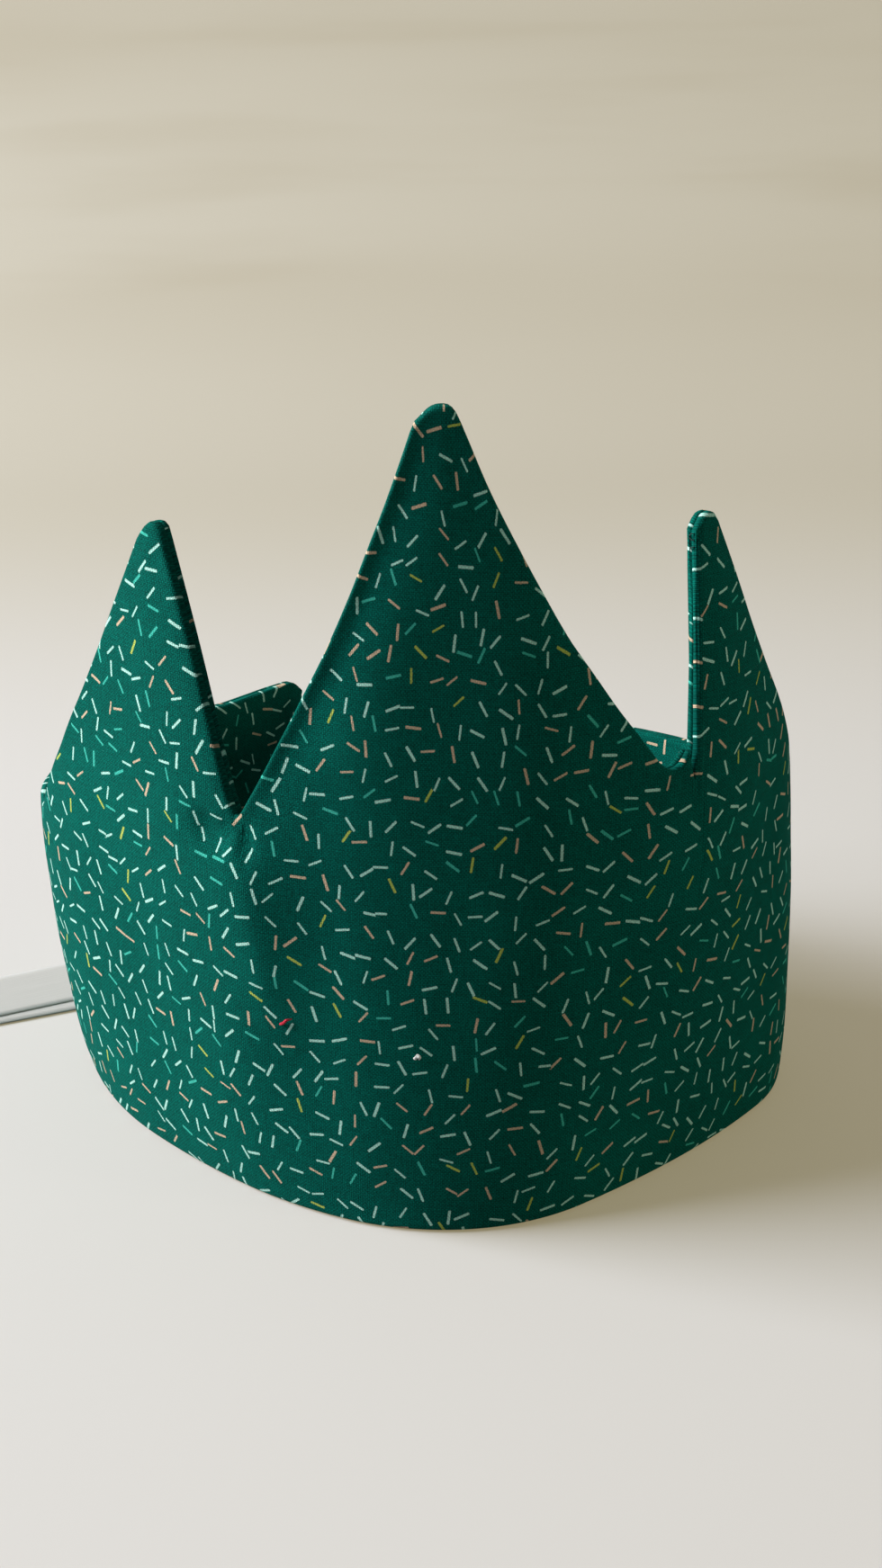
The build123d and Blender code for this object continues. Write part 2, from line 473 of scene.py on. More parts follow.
        half = math.pi / self.thread_pitch_mm
        over = (across * half).sine() * (up * half).sine()
        knots = abs(over).rise(*self.knot_zone)
        upper = over.rise(*self.upper_zone)
        thin, long = self.streak_scales
        warp_streak = finish.noise(turned, 1.0, 1.0, (thin, long, 1.0))
        weft_streak = finish.noise(turned, 1.0, 1.0, (long, thin, 1.0))
        patches = finish.noise(turned, self.patch_scale, 3.0)
        slub = (warp_streak + weft_streak) * 0.5

        ground = finish.mix(slub.rise(*self.slub_zone), self.ground_deep, self.ground)
        patch = patches.rise(*self.patch_zone) * self.patch_cover
        worn = finish.mix(patch, ground, self.ground_worn)
        inked = finish.mix(next_mask * self.ink_cover, worn, next_ink)
        printed = finish.mix(near_mask * self.ink_cover, inked, near_ink)
        # painted light: knots and upper threads lighten the colour as painted highlight, and the
        # gaps keep the low last share as painted shade
        layers = (knots, upper, fleck.rise(*self.fleck_zone), slub)
        light = weighed(layers, self.painted_light_shares) + self.painted_light_shares[-1]
        inked_share = near_mask.at_least(next_mask)
        # on the dashes the painted weave light is evened out towards one level
        light = light * (1.0 - inked_share * self.ink_evenness) + inked_share * self.ink_painted_light
        shaded = finish.mix(1.0, printed, light, "MULTIPLY")
        height = weighed((knots, upper, fleck, slub), self.relief_shares)
        finish.surface(
            Base_Color=shaded,
            Roughness=slub * 0.1 + 0.82,
            Specular_IOR_Level=0.04,
            Sheen_Weight=0.08,
            Sheen_Roughness=0.45,
            Sheen_Tint=srgb(60, 200, 178),
            Normal=finish.bump(0.8, self.relief_m, height),
        )
        return finish.material


@dataclass(frozen=True)
class Satin:
    """Pale satin ribbon with fine lengthwise ribs and a brighter woven edge."""

    name: str = "pale_satin"
    cloth: Colour = srgb(191, 188, 183)
    shade: Colour = srgb(179, 176, 171)
    edge: Colour = srgb(206, 204, 200)
    width_m: float = 0.02
    pick_pitch_m: float = 0.0005
    edge_zone: Spot = (0.44, 0.47)
    edge_cover: float = 0.5
    thread_scales: Place = (60.0, 5200.0, 1.0)
    thread_zone: Spot = (0.25, 0.75)
    cloud_scales: Place = (90.0, 160.0, 1.0)
    relief_shares: Place = (0.6, 0.3, 0.8)
    relief_m: float = 0.0002

    def material(self) -> bpy.types.Material:
        """Builds the satin."""
        finish = NodeFinish(self.name)
        cloth = finish.node("ShaderNodeUVMap", {"uv_map": "cloth"}).outputs[0]
        along, across, _ = finish.axes(cloth)
        threads = finish.noise(cloth, 1.0, 2.0, self.thread_scales)
        clouds = finish.noise(cloth, 1.0, 2.0, self.cloud_scales)
        edge = abs(across - self.width_m / 2).rise(*(self.width_m * n for n in self.edge_zone))
        picks = (along * (math.tau / self.pick_pitch_m)).sine() * edge
        colour = finish.mix(threads.rise(*self.thread_zone), self.shade, self.cloth)
        height = weighed((threads, picks, clouds), self.relief_shares)
        finish.surface(
            Base_Color=finish.mix(edge * self.edge_cover, colour, self.edge),
            Roughness=threads * 0.15 + edge * 0.2 + 0.3,
            Specular_IOR_Level=0.5,
            Sheen_Weight=0.15,
            Normal=finish.bump(0.25, self.relief_m, height),
        )
        return finish.material


@dataclass(frozen=True)
class Fibre:
    """Loose fibre such as wadding, sewing thread or lint."""

    name: str
    light: Colour
    dark: Colour
    spots_per_m: float = 6000.0
    spot_zone: Spot = (0.3, 0.7)
    relief_m: float = 0.0003

    def material(self) -> bpy.types.Material:
        """Builds the fibre with a mottled colour and a rough surface."""
        finish = NodeFinish(self.name)
        place = finish.node("ShaderNodeTexCoord").outputs["Object"]
        mottle = finish.noise(place, self.spots_per_m, 4.0)
        finish.surface(
            Base_Color=finish.mix(mottle.rise(*self.spot_zone), self.dark, self.light),
            Roughness=mottle * 0.1 + 0.85,
            Normal=finish.bump(0.4, self.relief_m, mottle),
        )
        return finish.material


@dataclass(frozen=True)
class Paper:
    """Pale paper sweep that runs from the table up behind the crown. Its zones are in metres."""

    table: Colour = srgb(177, 178, 185)
    wall: Colour = srgb(153, 151, 148)
    # painted shade of the wall's soft creases
    crease_shade: Colour = srgb(131, 126, 119)
    glow: Colour = (0.245, 0.204, 0.112, 1.0)
    bounce_share: float = 0.3
    turn_zone: Spot = (0.2, 0.6)
    crease_shade_zone: Spot = (0.0, 0.1)
    wave_scales: Place = (1.2, 1.0, 11.0)
    fold_scales: Place = (3.0, 1.0, 30.0)

    def material(self) -> bpy.types.Material:
        """Builds the paper, warmer as it rises, with soft level creases on the wall painted in as
        darker bands of shade.

        What is seen of it has a faint warm glow of its own, which keeps its shadows pale. Where it
        only lights the crown it is darker, which keeps the crown's far side deep.
        """
        finish = NodeFinish("paper_sweep")
        place = finish.node("ShaderNodeTexCoord").outputs["Object"]
        _, away, height = finish.axes(place)
        waves = finish.noise(place, 1.0, 2.0, self.wave_scales)
        folds = finish.noise(place, 1.0, 3.0, self.fold_scales)
        colour = finish.mix(away.rise(*self.turn_zone), self.table, self.wall)
        # painted shade: darker bands of colour where the wall's creases would fall into shade,
        # with no relief under them
        depth = waves.rise(0.42, 0.7) * 0.5 + folds.rise(0.48, 0.75) * 0.3
        crease_shaded = finish.mix(depth * height.rise(*self.crease_shade_zone), colour, self.crease_shade)
        seen = finish.seen()
        kept = seen * (1.0 - self.bounce_share) + self.bounce_share
        dimmed = finish.mix(1.0, crease_shaded, kept, "MULTIPLY")
        glow = finish.mix(seen, (0.0, 0.0, 0.0, 1.0), self.glow)
        finish.surface(
            Base_Color=dimmed,
            Roughness=0.9,
            Specular_IOR_Level=0.1,
            Emission_Color=glow,
            Emission_Strength=1.0,
        )
        return finish.material


# The crown's form

@dataclass(frozen=True)
class CrownForm:
    """How the crown stands and how its cloth is cut, with the sizes of the solid model."""

    stretch_lengths: tuple[float, ...] = (25.0, 25.0, 30.0, 35.0, 45.0, 48.0)
    left_bends: tuple[float, ...] = (28.0, 15.0, 9.0, 24.0, 65.0, -6.0)
    right_bends: tuple[float, ...] = (32.0, 6.0, 10.0, 61.0, 38.0, 12.0)
    front_turn: float = 3.0
    band_lean_height: float = 80.0
    tip_lean_height: float = 150.0
    band_leans: tuple[float, ...] = (
        2.0, 2.5, 6.0, 2.0, 2.0, -3.0, -5.0, -1.0, 4.0, 0.5, -2.5, -5.0, -4.5)
    tip_leans: tuple[float, ...] = (
        -1.5, -1.5, 0.0, -3.5, -6.5, -8.0, -9.5, -7.0, -2.0, -5.5, -7.0, -9.0, -8.5)
    thickness: float = 4.6
    centre_tip: Place = (-2.6, 160.0, 5.4)
    left_tip: Place = (-68.5, 135.0, 3.6)
    right_tip: Place = (56.2, 135.7, 4.0)
    tip_drop: float = 3.0
    tip_squareness: float = 2.8
    tip_slump: float = 1.35
    left_valley: Place = (-45.2, 82.9, 1.3)
    right_valley: Place = (45.0, 89.0, 3.8)
    valley_rises: Spot = (1.9, 3.0)
    edge_ripple: float = 0.22
    edge_ripple_length: float = 5.5
    edge_ripple_seed: float = 3.7
    left_corner: float = -113.5
    right_corner: float = 109.0
    back_height: float = 66.0
    hollows: tuple[float, ...] = (2.5, -1.1, 0.8, 1.2, 1.9, 4.9)
    corner_round: float = 4.5
    slope_share: float = 0.4
    steepest_ripple: float = 2.5

    @property
    def half_length(self) -> float:
        """Half of the band's length."""
        return sum(self.stretch_lengths)

    def bend_places(self) -> list[float]:
        """Places where the bend changes, from the left end to the right."""
        right = [sum(self.stretch_lengths[: n + 1]) for n in range(len(self.stretch_lengths))]
        return [-place for place in reversed(right)] + [0.0] + right

    def floor_point(self, s: float) -> tuple[Vector, Vector]:
        """Walks the tangent arcs of the outer face's floor line.

        Args:
            s: place along the line.

        Returns:
            The point, and the direction in which s grows, both in millimetres on the floor.
        """
        side = 1.0 if s >= 0 else -1.0
        bends = self.right_bends if s >= 0 else self.left_bends
        heading = math.radians(self.front_turn)
        point = Vector((0.0, 0.0))
        rest = abs(s)
        for length, bend in zip(self.stretch_lengths, bends):
            run = min(rest, length) if length is not self.stretch_lengths[-1] else rest
            turn = side * math.radians(bend) * run / length
            chord = run if abs(turn) < 1e-9 else 2 * math.sin(turn / 2) / turn * run
            middle = heading + turn / 2
            point += Vector((math.cos(middle), math.sin(middle))) * chord * side
            heading += turn
            rest -= run
            if rest <= 1e-9:
                break
        return point, Vector((math.cos(heading), math.sin(heading)))

    def _eased(self, values: tuple[float, ...], s: float) -> float:
        """Value at s on an eased curve through the bends' values."""
        places = self.bend_places()
        n = min(max(bisect_right(places, s) - 1, 0), len(places) - 2)
        low, high = places[n], places[n + 1]
        share = min(max((s - low) / (high - low), 0.0), 1.0)
        before, start = values[max(n - 1, 0)], values[n]
        end, after = values[n + 1], values[min(n + 2, len(values) - 1)]
        start_slope = (end - before) * self.slope_share
        end_slope = (after - start) * self.slope_share
        square, cube = share * share, share**3
        return (
            (2 * cube - 3 * square + 1) * start
            + (cube - 2 * square + share) * start_slope
            + (3 * square - 2 * cube) * end
            + (cube - square) * end_slope
        )

    def lean(self, s: float, z: float) -> float:
        """How far the outer face stands out at a height."""
        low, high = self.band_lean_height, self.tip_lean_height
        band, tip = self._eased(self.band_leans, s), self._eased(self.tip_leans, s)
        curl = (tip / high - band / low) / (high - low)
        return (band / low - curl * low) * z + curl * z * z

    def edges(self) -> list[tuple[Spot, Spot, float]]:
        """Top edge from the left end to the right end, as (start, end, hollow)."""
        drop, (left, right), h = self.tip_drop, self.valley_rises, self.hollows
        turns = (
            (self.left_tip, drop), (self.left_valley, -left), (self.centre_tip, drop),
            (self.right_valley, -right), (self.right_tip, drop),
        )
        points = [(-self.half_length, self.back_height), (self.left_corner, self.back_height)]
        for (place, height, half), fall in turns:
            points += [(place - half, height - fall), (place + half, height - fall)]
        points += [(self.right_corner, self.back_height), (self.half_length, self.back_height)]
        hollows = [0.0, h[0], -drop, h[1], left, h[2], -drop, h[3], right, h[4], -drop, h[5], 0.0]
        return list(zip(points, points[1:], hollows))

    def top(self, s: float) -> float:
        """Height of the cloth's top edge, with the band's end corners rounded off."""
        for (low, start), (high, end), hollow in self.edges():
            if s <= high:
                break
        share = (s - low) / (high - low)
        wave = noise.noise(Vector((s / self.edge_ripple_length, self.edge_ripple_seed, 0.0)))
        ripple = wave * self.edge_ripple
        if hollow == -self.tip_drop:
            slumped = share**self.tip_slump
            height = start + self.tip_drop * (1 - abs(2 * slumped - 1) ** self.tip_squareness)
            return height + ripple
        slant = math.hypot(high - low, end - start) / (high - low)
        height = start + (end - start) * share - 4 * hollow * slant * share * (1 - share)
        return height + ripple * min(slant, self.steepest_ripple) - self._corner(s)

    def bottom(self, s: float) -> float:
        """Height of the cloth's lower edge, zero but for the rounded end corners."""
        return self._corner(s)

    def _corner(self, s: float) -> float:
        """How much a rounded corner takes off near a band end."""
        past = max(self.corner_round - (self.half_length - abs(s)), 0.0)
        return self.corner_round - math.sqrt(max(self.corner_round**2 - past**2, 0.0))

    def place(self, s: float, z: float, depth: float) -> Vector:
        """A point of the wall, in metres.

        Args:
            s: place round the wall in millimetres.
            z: height in millimetres.
            depth: how far in from the outer face, in millimetres.

        Returns:
            The point in the frame.
        """
        point, along = self.floor_point(s)
        out = Vector((along.y, -along.x))
        spot = point + out * (self.lean(s, z) - depth)
        return Vector((spot.x, spot.y, z)) * MM


class Face(Enum):
    """Which side of the wall a cloth panel covers."""

    OUTER = "outer"
    LINING = "lining"


@dataclass(frozen=True)
class Draw:
    """A short hollow or ridge that the seam draws in the cloth, along a line on (s, z)."""

    start: Spot
    end: Spot
    depth: float
    width: float
    crisp: float = 1.0
    end_loss: float = 0.6
    falloff: float = 1.5
    reach_widths: float = 5.0

    def depth_at(self, s: float, z: float) -> float:
        """How far in the cloth lies at a place, negative on a ridge.

        Args:
            s: place on the cloth.
            z: height on the cloth.

        Returns:
            The depth in millimetres.
        """
        way = (self.end[0] - self.start[0], self.end[1] - self.start[1])
        off = (s - self.start[0], z - self.start[1])
        share = (off[0] * way[0] + off[1] * way[1]) / (way[0] ** 2 + way[1] ** 2)
        share = min(max(share, 0.0), 1.0)
        gap = math.hypot(off[0] - share * way[0], off[1] - share * way[1])
        if gap > self.reach_widths * self.width:
            return 0.0
        eased = math.hypot(gap, self.crisp) - self.crisp
        swell = 1.0 - self.end_loss * (2 * share - 1) ** 2
        return self.depth * swell * math.exp(-((eased / self.width) ** self.falloff))


@dataclass
class PuffedPad:
    """How far the sewn cover swells over its wadding, from a cloth simulation laid out flat.

    The cover is a closed bag of two coarse grids on (s, z) that meet at the seam, cut a little
    fuller than the seam, and its filling presses outwards while the seam stays in place.
    """

    form: CrownForm
    columns: int = 120
    rows: int = 50
    fullness: float = 0.006
    pressure: float = 1.0
    mass: float = 0.15
    stretch_stiffness: float = 20.0
    shear_stiffness: float = 8.0
    bending_stiffness: float = 0.3
    air_damping: float = 4.0
    quality: int = 5
    frames: int = 20
    most_rise: float = 1.0
    easing: float = 6.0
    relief: dict[Face, np.ndarray] = field(default_factory=dict, repr=False)

    def _bag(self) -> tuple[bpy.types.Object, np.ndarray]:
        """Makes the bag.

        Returns:
            The bag, and each point's column, row and face (0 outer, 1 lining, 2 seam).
        """
        form = self.form
        bm, places = grid(self.columns, self.rows)
        column = bm.verts.layers.int.new("column")
        row = bm.verts.layers.int.new("row")
        for vert, (n, m) in zip(bm.verts, places):
            vert[column], vert[row] = n, m
            s = (2 * n / self.columns - 1) * form.half_length
            low, top = form.bottom(s), form.top(s)
            border = n in (0, self.columns) or m in (0, self.rows)
            depth = 0.0 if border else -form.thickness / 2
            vert.co = Vector((s, depth, low + (top - low) * m / self.rows)) * MM
        bmesh.ops.mirror(bm, geom=bm.verts[:] + bm.edges[:] + bm.faces[:], axis="Y",
                         merge_dist=0.1 * MM)
        bm.normal_update()
        if sum(bm_face.normal.y * bm_face.calc_center_median().y for bm_face in bm.faces) < 0:
            bmesh.ops.reverse_faces(bm, faces=bm.faces)
        bm.verts.ensure_lookup_table()
        keys = np.array([
            (vert[column], vert[row], 2 if abs(vert.co.y) < 1e-6 else int(vert.co.y > 0))
            for vert in bm.verts
        ])
        bag = finished(bm, "puffed_bag")
        seam = bag.vertex_groups.new(name="seam")
        seam.add([int(n) for n in np.nonzero(keys[:, 2] == 2)[0]], 1.0, "REPLACE")
        return bag, keys

    def simulate(self) -> None:
        """Presses the bag outwards and keeps how far each grid point of its faces moved."""
        shape = (self.columns + 1, self.rows + 1)
        self.relief = {face: np.zeros(shape) for face in Face}
        scene = bpy.context.scene
        bag, keys = self._bag()
        before = np.array([vert.co.y for vert in bag.data.vertices])
        puff = bag.modifiers.new("puff", "CLOTH")
        cloth = puff.settings
        cloth.quality = self.quality
        cloth.mass = self.mass
        cloth.tension_stiffness = cloth.compression_stiffness = self.stretch_stiffness
        cloth.shear_stiffness = self.shear_stiffness
        cloth.bending_stiffness = self.bending_stiffness
        cloth.air_damping = self.air_damping
        cloth.use_pressure = True
        cloth.uniform_pressure_force = self.pressure
        cloth.shrink_min = cloth.shrink_max = -self.fullness
        cloth.vertex_group_mass = "seam"
        cloth.effector_weights.gravity = 0.0
        puff.collision_settings.use_collision = False
        for frame_number in range(1, self.frames + 1):
            scene.frame_set(frame_number)
        held = bag.evaluated_get(bpy.context.evaluated_depsgraph_get())
        after = np.array([vert.co.y for vert in held.data.vertices])
        moved = (after - before) / MM
        for kind, face, way in ((0, Face.OUTER, -1.0), (1, Face.LINING, 1.0)):
            chosen = keys[:, 2] == kind
            outwards = np.maximum(moved[chosen] * way, 0.0)
            rise = self.most_rise * np.tanh(outwards / self.easing)
            self.relief[face][keys[chosen, 0], keys[chosen, 1]] = rise
        log.info("lining swelled by %.2f mm", float(self.relief[Face.LINING].mean()))
        bpy.data.objects.remove(bag)
        scene.frame_set(1)

    def rise(self, face: Face, s: np.ndarray, share: np.ndarray) -> np.ndarray:
        """Swelling at flat places, on a smooth surface through the grid's points.

        Args:
            face: which side of the wall.
            s: places round the wall.
            share: heights as shares of the cloth's height there.

        Returns:
            The rise at each place in millimetres.
        """
        padded = np.pad(self.relief[face], 2, mode="edge")
        x = (s / self.form.half_length + 1) / 2 * self.columns
        y = np.clip(share, 0.0, 1.0) * self.rows
        total = np.zeros(len(s))
        for n_shift, n_weight in self._weights(x):
            for m_shift, m_weight in self._weights(y):
                n = np.clip(np.floor(x).astype(int) + n_shift, -2, self.columns + 2) + 2
                m = np.clip(np.floor(y).astype(int) + m_shift, -2, self.rows + 2) + 2
                total += n_weight * m_weight * padded[n, m]
        return total

    @staticmethod
    def _weights(place: np.ndarray) -> list[tuple[int, np.ndarray]]:
        """The four neighbours' shifts and cubic weights along one direction of the grid."""
        t = place - np.floor(place)
        return [
            (-1, (1 - t) ** 3 / 6),
            (0, (3 * t**3 - 6 * t**2 + 4) / 6),
            (1, (-3 * t**3 + 3 * t**2 + 3 * t + 1) / 6),
            (2, t**3 / 6),
        ]


@dataclass
class ClothPanel:
    """One printed panel of the crown, cut to the outline, puffed by the wadding and turned in.

    The draws are the short hollows and the soft ridge that the seam pulls in the cloth beside the
    clipped valleys. A wave is its length along s, its length along z and its size, all in
    millimetres, and the layer of the noise that it takes.
    """

    form: CrownForm
    pad: PuffedPad
    face: Face
    name: str
    node: str
    slot: str
    shift: Spot
    draws: tuple[Draw, ...] = ()
    columns: int = 440
    rows: int = 70
    end_turns: int = 8
    edge_turns: int = 9
    edge_round: float = 1.3
    edge_square: float = 3.4
    zone_shifts: tuple[float, ...] = (-4.0, -2.7, -1.35, 0.0, 1.35, 2.7, 4.0)
    steepest_zone: float = 3.2
    groove: float = 0.07
    pillow_drop: float = 0.7
    pillow_reach: float = 14.0
    swell: tuple[float, ...] = (38.0, 34.0, 0.4, 0.3)
    ripple: tuple[float, ...] = (11.0, 13.0, 0.16, 5.1)
    pucker: tuple[float, ...] = (3.1, 3.1, 0.22, 9.7)
    lining_seed: float = 40.0
    pucker_reach: float = 4.5
    edge_fade: float = 2.2
    outline_step: float = 0.8
    cloth_thickness: float = 0.4

    def _edge_distance(self, spots: np.ndarray) -> np.ndarray:
        """Distance of each flat spot from the cut cloth's outline, in millimetres."""
        form = self.form
        half = form.half_length
        places = np.arange(-half, half + 0.01, self.outline_step)
        top = [(s, form.top(s)) for s in places]
        bottom = [(s, form.bottom(s)) for s in places[::-1]]
        start = np.array(top + bottom)
        along = np.roll(start, -1, axis=0) - start
        length = np.maximum((along**2).sum(1), 1e-9)
        nearest = np.full(len(spots), 1e9)
        for origin, way, square in zip(start, along, length):
            share = np.clip(((spots - origin) @ way) / square, 0, 1)
            gap = spots - origin - share[:, None] * way
            nearest = np.minimum(nearest, (gap**2).sum(1))
        return np.sqrt(nearest)

    def _zone(self, s: float) -> float:
        """Height of the rounded zone under the top edge, taller where the edge is steep."""
        half, slopes = self.form.half_length, []
        for shift in self.zone_shifts:
            low, high = max(s + shift - 1.0, -half), min(s + shift + 1.0, half)
            slopes.append(abs(self.form.top(high) - self.form.top(low)) / (high - low))
        slope = sum(slopes) / len(slopes)
        return self.edge_round * math.hypot(1.0, min(slope, self.steepest_zone))

    def _cut(self, places: list[tuple[int, int]]) -> tuple[np.ndarray, np.ndarray, list[float]]:
        """Lays the grid's points out on the flat cloth.

        Args:
            places: the column and row of each point.

        Returns:
            Each point's (s, z), its height as a share of the cloth's height there, and each
            column's rounded zone under the top edge.
        """
        form, edge = self.form, self.edge_round
        band = (-form.half_length, form.half_length)
        columns = rounded_places(band, (edge, edge), self.end_turns, self.columns + 1)
        tops = [form.top(s) for s in columns]
        lows = [form.bottom(s) for s in columns]
        zones = [self._zone(s) for s in columns]
        heights = [
            rounded_places((0.0, top - low), (edge, zone), self.edge_turns, self.rows + 1)
            for zone, top, low in zip(zones, tops, lows)
        ]
        flat = np.array([(columns[n], lows[n] + heights[n][m]) for n, m in places])
        at = [n for n, _ in places]
        low, top = np.array(lows)[at], np.array(tops)[at]
        return flat, (flat[:, 1] - low) / (top - low), zones

    def _rise(self, s: float, z: float, edge: float) -> float:
        """How far the cloth stands out beyond its swelling, in millimetres.

        Args:
            s: place on the cloth.
            z: height on the cloth.
            edge: distance from the nearest edge.

        Returns:
            The rise, negative where the cloth is drawn in.
        """
        seed = 0.0 if self.face is Face.OUTER else self.lining_seed

        def wave(sizes: tuple[float, ...], s_seed: float, z_seed: float) -> float:
            """One layer of unevenness."""
            s_length, z_length, size, layer = sizes
            spot = Vector((s / s_length + s_seed, z / z_length + z_seed, layer))
            return noise.noise(spot) * size

        swell, ripple = wave(self.swell, seed, 0.0), wave(self.ripple, seed, 0.0)
        pucker = wave(self.pucker, 0.0, seed) * math.exp(-((edge / self.pucker_reach) ** 2))
        fade = 1 - math.exp(-((edge / self.edge_fade) ** 2))
        drawn = sum(draw.depth_at(s, z) for draw in self.draws)
        return (swell + ripple + pucker - drawn) * fade

    def _depth(self, edge: float) -> float:
        """How far in the cloth lies at a distance from its edge, from half way in to the face."""
        middle = self.form.thickness / 2
        settled = self.pillow_drop * (1 - min(edge / self.pillow_reach, 1.0)) ** 2
        share, power = min(edge / self.edge_round, 1.0), self.edge_square
        rounded = 1 - (1 - (1 - share) ** power) ** (1 / power)
        return settled + (middle - settled) * rounded

    def build(self, cotton: bpy.types.Material) -> bpy.types.Object:
        """Makes the panel and dresses it.

        Args:
            cotton: the printed cotton.

        Returns:
            The panel.
        """
        form = self.form
        bm, places = grid(self.columns, self.rows)
        flat, share, zones = self._cut(places)
        edge = self._edge_distance(flat)
        swell = self.pad.rise(self.face, flat[:, 0], share)
        swell *= np.clip(edge / self.edge_round, 0.0, 1.0)
        spots = flat.tolist()
        for vert, (n, m), (s, z), gap, puffed in zip(bm.verts, places, spots, edge, swell):
            at_end, at_low, at_top = n in (0, self.columns), m == 0, m == self.rows
            depth = self._depth(gap) - puffed - self._rise(s, z, gap)
            if at_end or at_low or at_top:
                depth = form.thickness / 2
                s -= math.copysign(self.groove, s) if at_end else 0.0
                z += self.groove if at_low else 0.0
                z -= self.groove * zones[n] / self.edge_round if at_top else 0.0
            if self.face is Face.LINING:
                depth = form.thickness - depth
            vert.co = form.place(s, z, depth)
        if self.face is Face.LINING:
            bmesh.ops.reverse_faces(bm, faces=bm.faces)
        printed = [(s * MM + self.shift[0], z * MM + self.shift[1]) for s, z in spots]
        panel = finished(bm, self.name, cotton, printed)
        thicken(panel, self.cloth_thickness, -1.0)
        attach(panel, "root")
        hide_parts(self.node)
        return panel


@dataclass
class Wadding:
    """The stiff wadding between the two panels, cut a little smaller than they are."""

    form: CrownForm
    inset: float = 3.2
    end_inset: float = 8.5
    top_inset: float = 9.0
    top_reach: int = 12
    top_step: int = 3
    thickness: float = 1.8
    columns: int = 110
    rows: int = 14

    def build(self, felt: bpy.types.Material) -> bpy.types.Object:
        """Makes the wadding as one padded slab.

        Args:
            felt: its material.

        Returns:
            The wadding.
        """
        form = self.form
        half = form.half_length - self.end_inset
        depth = (form.thickness - self.thickness) / 2
        shifts = range(-self.top_reach, self.top_reach + 1, self.top_step)
        bm, _ = grid(self.columns, self.rows)
        for vert in bm.verts:
            s = vert.co.x * 2 * half
            top = min(form.top(s + shift) for shift in shifts) - self.top_inset
            z = self.inset + (vert.co.y + 0.5) * (top - self.inset)
            vert.co = form.place(s, z, depth)
        bmesh.ops.solidify(bm, geom=bm.faces[:], thickness=self.thickness * MM)
        bmesh.ops.recalc_face_normals(bm, faces=bm.faces)
        slab = finished(bm, "wadding_slab", felt)
        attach(slab, "root")
        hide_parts("wadding")
        return slab


